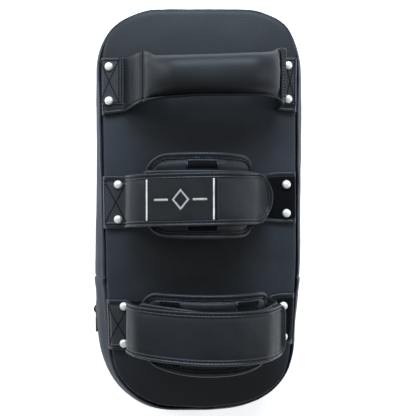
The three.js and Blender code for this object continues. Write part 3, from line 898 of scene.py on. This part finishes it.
def add_cushion(name, points, y, wide, corner, arch, sag, taper, strap_sway, bands):
    """A bound, padded forearm cushion. It bulges on both sides of the strap that holds it, and
    bands of pile cross it. At half its length it is wider by arch, and hangs lower by sag. Its
    lower half narrows to the ends by taper."""
    length = Ribbon(points, lambda s: y).length
    ribbon = Ribbon(points, lambda s: y - sag * math.sin(math.pi * s / length),
                    lambda s: 1 + arch * math.sin(math.pi * s / length))
    half = wide / 2
    side = strip_side(0, ribbon.length, half, (corner, corner), 2.4, 12)

    def tapered(s, y):
        return y * (1 - taper * abs(2 * s / length - 1) ** 2.6) if y < 0 else y

    def held(s, y, n):
        """The height left of n where the inner strap lies on the cushion."""
        under = ease((26.5 - abs(y - profile(s / length, strap_sway))) / 4)
        return n - max(0.0, n - 1.1) * under

    def place(s, y, n):
        edge = min(half - abs(y), s, ribbon.length - s)
        pucker = hump(edge, 7, 3.0) * wander(s, y, 1, 3.4, 0.7)
        soft = wander(s, y, 4, 15, 0.6) * ease((edge - 5) / 8)
        across = tapered(s, y)
        return ribbon.place(s, across, held(s, across, n) + (pucker + soft if n > 1 else 0))

    replaced = [f"{name}_cushion_{part}" for part in ("cover", "foam", "lining", "binding")]
    look = (STRAP, "cushion_leather", f"{name}_counter", replaced)
    levels = (CUSHION_TOP, CUSHION_UNDER)
    cushion = add_panel(f"{name}_cushion", side, place, levels, look, 26, (0.4, 0.3), 14)
    top = len(CUSHION_TOP)
    paint_rings(cushion, side, 26, lambda ring, s, face: 6 <= ring < top + 3, BINDING)
    paint_rings(cushion, side, 26, lambda ring, s, face: top + 4 <= ring and face.normal.z < 0, LINING)
    rows = [(edge_lines(side, 4.3, across=26), 1.65, EDGE_STITCH)]
    sew(f"{name}_cushion_stitches", place, rows, "cushion_leather", f"{name}_counter")

    heights = [(inset, n) for inset, n in CUSHION_TOP if inset > 6]
    for i, (start, end) in enumerate(bands):
        band = strip_side(ribbon.length * start, ribbon.length * end, half - 5.9, (0.4, 0.4), 1.5, 2)

        def on_top(s, y, n):
            across = tapered(s, y)
            rise = held(s, across, profile(half - abs(y), heights))
            return ribbon.place(s, across, rise + n + wander(s, y, 4, 15, 0.6))

        levels = [(0, 0.0), (0.1, 0.9), (0.5, 1.25), (1.3, 1.25), (1.7, 0.7), (2.4, 0.7)]
        look = (PILE, "hook_and_loop", f"{name}_counter", [f"{name}_cushion_patch_{i + 1}"])
        patch = add_panel(f"{name}_cushion_band_{i + 1}", band, on_top,
                          (levels, [(0.2, -0.4), (2, -0.5)]), look, 44)
        paint_rings(patch, band, 44, lambda ring, s, face: 2 <= ring < 5, BINDING)


def add_straps():
    mid, mid_free = strap_ribbon(MID_BASE, MID_REST, 5.75, 5.9, 3.7, -0.6, [(-10, 49.3), (4, 47.5)])
    low, low_free = strap_ribbon(LOW_BASE, LOW_REST, -109.4, -107.2, -3.6, -5.6,
                                 [(-10, 47.3), (2, 45.6), (40, 46.4), (90, 47.5)])
    mid_place = add_outer_strap("mid", mid, mid_free, 22.5)
    add_outer_strap("low", low, low_free, 10.0)
    add_label(mid_place, mid, mid_free)

    tail = [(54.9, 13.3), (58.6, 7.4), (64.5, 2.9), (72, 1.8), (93, 1.5)]
    mid_inner = counter_ribbon(MID_BASE, MID_REST, 3.4, (0.13, 0.85), tail, [(0, 10.1), (1, 10.3)])
    tail = [(71.6, 17.1), (68.2, 10), (65.4, 5), (66.8, 2.4), (71.5, 1.8), (92, 1.5)]
    low_inner = counter_ribbon(LOW_BASE, LOW_REST, 4.4, (0.115, 0.9), tail,
                               [(0, -107.5), (0.14, -110), (0.42, -115.5), (0.64, -112.5), (0.8, -108),
                                (0.91, -104.3), (1, -103.8)])
    add_counter("mid", mid_inner)
    add_counter("low", low_inner)

    mid_line = [(-48.5, 39), (-26, 46.5), (2, 48.3), (26, 42.5), (41, 29.5), (49.5, 14.5)]
    low_line = [(-51, 44), (-26, 54), (4, 57), (34, 53), (52, 42), (62.5, 24)]
    add_cushion("mid", mid_line, 10.4, 74.4, 22, 0.045, 0, 0.04,
                [(0, -0.3), (1, -0.1)], [(0.345, 0.585)])
    add_cushion("low", low_line, -109.6, 71.0, 17, 0.02, 3.4, 0.3,
                [(0, 3), (0.45, -0.6), (1, 3.4)], [(0.14, 0.30), (0.66, 0.84)])


# ---- the handle

HANDLE_LINE = [(-93.5, 1.9), (-80, 2.0), (-70.8, 2.5), (-66.6, 6.5), (-61.6, 15), (-51, 32), (-34, 42),
               (-5, 46), (30, 46.5), (57, 43), (70, 34), (76, 24), (75, 13), (73.4, 6), (76, 2.6),
               (82, 2.0), (94, 1.9)]
HANDLE_HALF = 25.4
STRIP_THICK = 1.45
GRIP_RAISED = 16.0
PATCH_HEIGHT = 3.5

plain_handle = Ribbon(HANDLE_LINE, lambda s: 0.0)
GRIP_LEFT = plain_handle.s_at_x(-49.2)
GRIP_RIGHT = plain_handle.s_at_x(69.6) + 3.6
GRIP_MIDDLE = (GRIP_LEFT + GRIP_RIGHT) / 2
HANDLE_END = plain_handle.length
# The y of the leather strip's two edges and of the grip's, by the length along the handle.
STRIP_LOWER = [(0, 87.8), (21, 89.8), (GRIP_LEFT, 95.4), (GRIP_LEFT + 40, 98.6),
               (GRIP_MIDDLE + 10, 99.4), (GRIP_RIGHT - 10, 99.2), (GRIP_RIGHT, 98.2),
               (GRIP_RIGHT + 14, 94.5), (HANDLE_END - 14, 91.0), (HANDLE_END, 90.6)]
STRIP_UPPER = [(0, 139.8), (21, 141.2), (GRIP_LEFT - 6, 141.0), (GRIP_LEFT, 141.9),
               (GRIP_LEFT + 7, 138.2), (GRIP_LEFT + 16, 133.5), (GRIP_RIGHT - 16, 134.5),
               (GRIP_RIGHT - 6, 139), (GRIP_RIGHT, 144.2), (GRIP_RIGHT + 8, 144.0),
               (GRIP_RIGHT + 25, 142.6), (HANDLE_END, 142)]
GRIP_LOWER = [(GRIP_LEFT, 98.2), (GRIP_LEFT + 14, 100.2), (GRIP_MIDDLE, 102), (GRIP_RIGHT - 14, 100.8),
              (GRIP_RIGHT, 98.8)]
GRIP_UPPER = [(GRIP_LEFT, 142.2), (GRIP_LEFT + 6, 139.6), (GRIP_LEFT + 15, 135.9), (GRIP_MIDDLE, 135.8),
              (GRIP_RIGHT - 24, 137.8), (GRIP_RIGHT - 11, 140.2), (GRIP_RIGHT, 144.6)]


def middle_and_half(s, lower, upper):
    low, high = profile(s, lower), profile(s, upper)
    return (low + high) / 2, (high - low) / 2


handle = Ribbon(HANDLE_LINE, lambda s: middle_and_half(s, STRIP_LOWER, STRIP_UPPER)[0],
                lambda s: middle_and_half(s, STRIP_LOWER, STRIP_UPPER)[1] / HANDLE_HALF)


def add_handle_strip():
    side = strip_side(0, handle.length, HANDLE_HALF, (1.0, 1.0), 1.3, 3)
    seam = GRIP_LEFT - 0.8
    roll = [(0.0, 0.0), (0.1, 1.0), (0.5, 1.8), (1.4, 2.5), (2.5, 2.5), (3.3, 1.9), (3.8, 1.35),
            (4.6, 1.4), (7, STRIP_THICK)]

    def place(s, y, n):
        flat = max(-STRIP_THICK, min(STRIP_THICK, n))
        n = flat + (n - flat) * ease((15 - y) / 5)
        crease = 1.7 * hump(s, seam, 1.3) if n > 0 else 0.0
        return handle.place(s, y, n - crease + wander(s, y, 4, 14, 0.35))

    replaced = ["handle_base_left", "handle_base_right", "handle_strip"]
    look = (STRAP, "strap_leather", None, replaced)
    strip = add_panel("handle_leather", side, place, (roll, turned(roll)), look, 10, (0, 0), 12)
    paint_rings(strip, side, 10, lambda ring, s, face: 2 <= ring < 2 * len(roll) - 4, BINDING)
    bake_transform(strip)
    rows = [(edge_lines(side, 4.1, lambda s, y: y < 0), 1.4, HANDLE_STITCH)]
    across = [y for _, y in dense((seam, -22), (seam, 24.6))]
    cord = bead([(handle.place(seam, y, 1.25), (0, 0, 1)) for y in across], 0.85, 8, closed=False)
    thread = sew("handle_stitches", place, rows, "strap_leather", None, [cord])
    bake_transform(thread)


def add_handle_patch(name, box, columns, cross, node):
    """A stitched patch over one end of the handle: a boxed cross, and columns of stitches."""
    left, right, low, high = box
    side = strip_side(left, right, (high - low) / 2, (0.8, 0.8), 2.0, 3)
    middle = (low + high) / 2

    def place(x, y, n):
        return tucked(x, middle + y, BACK + PATCH_HEIGHT + n + wander(x, y, 6, 9, 0.2))

    levels = [(0, 0.0), (0.05, 0.6), (0.35, 1.0), (0.9, 1.2), (1.8, 1.2), (3.0, 1.05), (4.5, 1.1)]
    # the patch gets the lighter copy of the strap leather: painted light
    look = (ANCHOR_LIT, "strap_leather", "pad", [node])
    add_panel(name, side, place, (levels, [(0.2, -0.4), (3, -0.5)]), look, 8, (0.1, 0), 6)
    half = (high - low) / 2 - 2.2
    rows = [(box_lines(*cross, half), 1.05, BOX_STITCH),
            ([dense((x, -half), (x, half)) for x in columns], 1.1, COLUMN_STITCH)]
    sew(f"{name}_stitches", place, rows, "strap_leather", "pad")


def add_grip():
    """The padded grip: full in the middle, pinched flat into a sewn seam at each end."""
    stations = 84
    around = 44
    vertices = []
    for i in range(stations + 1):
        t = i / stations
        u = t - 0.11 * math.sin(2 * math.pi * t)
        s = GRIP_LEFT + (GRIP_RIGHT - GRIP_LEFT) * u
        near = min(u, 1 - u) * (GRIP_RIGHT - GRIP_LEFT)
        full = ease(0.1 + near / 36) ** 0.55 * min(1.0, near / 8) ** 0.6
        pinch = 1 - ease(near / 20)
        middle, half = middle_and_half(s, GRIP_LOWER, GRIP_UPPER)
        high = 0.3 + GRIP_RAISED * full
        for c, n in circle(around):
            y = half * math.copysign(abs(c) ** 0.78, c)
            out = high * abs(n) ** 0.86 if n > 0 else -0.7 * abs(n)
            if n > 0:
                folds = math.sin(y * 0.8 + 1.3 * math.sin(y * 0.31 + (0 if u < 0.5 else 2)))
                out += 0.5 * pinch * ease(near / 3) * folds + wander(s, y, 9, 30, 0.6) * full
            x, z = handle.offset(s, 1.3 + out)
            vertices.append((x, middle + y, BACK + z))
    grip = piece_of("grip_cover", vertices, tube(stations + 1, around), STRAP, "strap_leather",
                    "handle", ["handle_sleeve", "handle_foam"])


def add_grip_tab():
    """The flat double-stitched fold that closes the grip's right end."""
    start, end = GRIP_RIGHT - 1.0, GRIP_RIGHT + 6.2
    middle, height = 121.6, 3.2
    side = strip_side(start, end, 23.2, (0.6, 0.6), 0.8, 3)

    def place(s, y, n):
        x, z = handle.offset(s, height + n + wander(s, y, 3, 6, 0.4))
        return x, middle + y, BACK + z

    levels = [(0, 0.0), (0.1, 1.0), (0.45, 1.9), (1.1, 2.1), (1.8, 1.5), (2.6, 1.4)]
    look = (BINDING, "strap_leather", "handle")
    add_panel("grip_tab", side, place, (levels, [(0.4, -0.6), (1.0, -0.7)]), look, 12)
    lines = [dense((s, -21.5), (s, 21.5)) for s in (start + 2.0, end - 2.4)]
    sew("grip_tab_stitches", place, [(lines, 1.45, TAB_STITCH)], "strap_leather", "handle")


# ---- zip slider

SLIDER = Vector((-98.074, -99.5, 46))
SLIDER_OUT = Vector((-0.999775, -0.021191, 0))
SLIDER_ALONG = Vector((0.021191, -0.999775, 0))


def slider_place(along, across, out):
    return SLIDER + SLIDER_OUT * out + SLIDER_ALONG * along + Vector((0, 0, across))


def add_zip_slider():
    """The slider's shield-shaped plate, and the bridge that its pull hangs from."""
    def shield(inset):
        body = strip_side(-6, 6, 4.2, (2.2, 3.0), 1.0, 6)(inset)
        return [(u, v * (1 - 0.18 * ease((u + 1) / 7))) for u, v in body]

    def place(u, v, n):
        return slider_place(u, v, n + 2.0)

    levels = [(0, 0.0), (0.1, 0.5), (0.4, 0.85), (0.9, 1.0), (1.6, 1.05)]
    plate = ring_panel(shield, place, levels, turned(levels), 6)
    arch = [(slider_place(3.8 * math.cos(a), 0, 2.6 + 3.4 * math.sin(a)), (0, 0, 1))
            for a in (math.pi * k / 10 for k in range(11))]
    bridge = bead(arch, 0.95, 8, closed=False)
    look = (BLACK_METAL, "zip_metal", "zip_slider", ["zip_slider"])
    piece_of("slider_body", *joined([plate, bridge]), *look)


def add_zip_pull():
    """A flat pull with an eye round the bridge and raised edges."""
    height = 4.2
    eye = [(slider_place(3.7 + 4.3 * cos, 2.5 * sin, height), SLIDER_OUT) for cos, sin in circle(20)]
    ring = bead(eye, 0.62, 8)
    side = strip_side(7.4, 23, 3.5, (1.4, 3.3), 1.2, 6)
    levels = [(0, 0.0), (0.1, 0.4), (0.3, 0.7), (0.9, 0.75), (1.3, 0.5), (2.2, 0.45)]
    tab = ring_panel(side, lambda u, v, n: slider_place(u, v, n + height), levels, turned(levels), 6)
    piece_of("pull_tab", *joined([ring, tab]), BLACK_METAL, "zip_metal", "zip_pull", ["zip_pull"])


# ---- rivets


def add_rivets():
    """Domed caps, each over a thin rolled rim, on the rivets' places."""
    sides = 32
    dome = [(1.9, -4.6), (1.9, -0.3), (3.8, -0.3), (4.05, 0.0), (4.0, 0.4), (3.85, 0.9), (3.5, 1.5),
            (2.9, 2.0), (2.1, 2.35), (1.1, 2.55), (0.15, 2.6)]
    for node in [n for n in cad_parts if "_rivet_" in n]:
        low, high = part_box(node)
        x, y = ((low[i] + high[i]) / 2 / MM for i in (0, 1))
        base = high[2] / MM - dome[-1][1]
        cap = [(x + r * cos, y + r * sin, base + z) for r, z in dome for cos, sin in circle(sides)]
        faces = tube(len(dome), sides)
        piece_of(f"{node}_cap", cap, faces, NICKEL, "rivet_nickel", "pad", [node])


# ---- the scene


def add_stage():
    mesh = bpy.data.meshes.new("floor")
    mesh.from_pydata([(-4, -4, 0), (4, -4, 0), (4, 4, 0), (-4, 4, 0)], [], [[0, 1, 2, 3]])
    floor = bpy.data.objects.new("floor", mesh)
    pale = Shader("floor", (0.9, 0.9, 0.9), 0.9)
    pale.inputs["Emission Color"].default_value = (1, 1, 1, 1)
    pale.inputs["Emission Strength"].default_value = 0.55
    mesh.materials.append(pale.material)
    bpy.context.scene.collection.objects.link(floor)
    floor.location.z = -0.0003  # so that it doesn't meet the striking face


def add_light(name, place, aim, size, power, colour):
    data = bpy.data.lights.new(name, "AREA")
    data.shape = "RECTANGLE"
    data.size, data.size_y = size
    data.energy = power
    data.color = colour
    light = bpy.data.objects.new(name, data)
    light.location = place
    light.rotation_euler = (Vector(aim) - Vector(place)).to_track_quat("-Z", "Y").to_euler()
    bpy.context.scene.collection.objects.link(light)


def add_camera_and_light():
    """The camera looks straight down on the straps from 0.8 m above the back panel."""
    scene = bpy.context.scene
    data = bpy.data.cameras.new("camera")
    data.lens = 73.34
    data.shift_x = 0.0228
    data.shift_y = 0.0409
    camera = bpy.data.objects.new("camera", data)
    camera.location = (0, -0.0156, BACK * MM + 0.8)
    scene.collection.objects.link(camera)
    scene.camera = camera

    world = bpy.data.worlds.new("studio")
    world.use_nodes = True
    world.node_tree.nodes["Background"].inputs["Color"].default_value = (0.93, 0.96, 1, 1)
    world.node_tree.nodes["Background"].inputs["Strength"].default_value = 0.45
    scene.world = world
    scene.view_settings.view_transform = "Standard"
    add_light("key", (0.1, 1.0, 0.95), (0, 0.12, 0.1), (1.1, 0.5), 24.5, (0.69, 0.84, 1.0))
    add_light("left", (-0.98, 0.65, 0.75), (0, 0.05, 0.1), (0.5, 0.9), 9.2, (0.86, 0.93, 1.0))
    add_light("right", (1.1, 0.1, 0.7), (0, 0, 0.1), (0.5, 1.0), 3.5, (0.93, 0.96, 1.0))


def paint_hidden_nodes():
    """Foam and board for the pieces that stay inside, and pile for the hook patches."""
    kinds = {"core": FOAM, "stiffener": BOARD, "hook_patch": PILE}
    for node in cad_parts:
        for word, material in kinds.items():
            if word in node:
                for slot in bpy.data.objects[node].material_slots:
                    slot.material = material


add_camera_and_light()
add_stage()
paint_hidden_nodes()
add_back_panel()
add_striking_panel()
add_gusset()
add_zip()
add_zip_slider()
add_zip_pull()
add_straps()
add_handle_strip()
add_handle_patch("handle_end_left", (-93.5, -68.5, 97.4, 141.4), (-72.3, -70.1), (-93, -74.8),
                 "handle_patch_left")
add_handle_patch("handle_end_right", (77.4, 94, 97.2, 141.4), (79.2,), (81.0, 90.8),
                 "handle_patch_right")
add_grip()
add_grip_tab()
add_rivets()
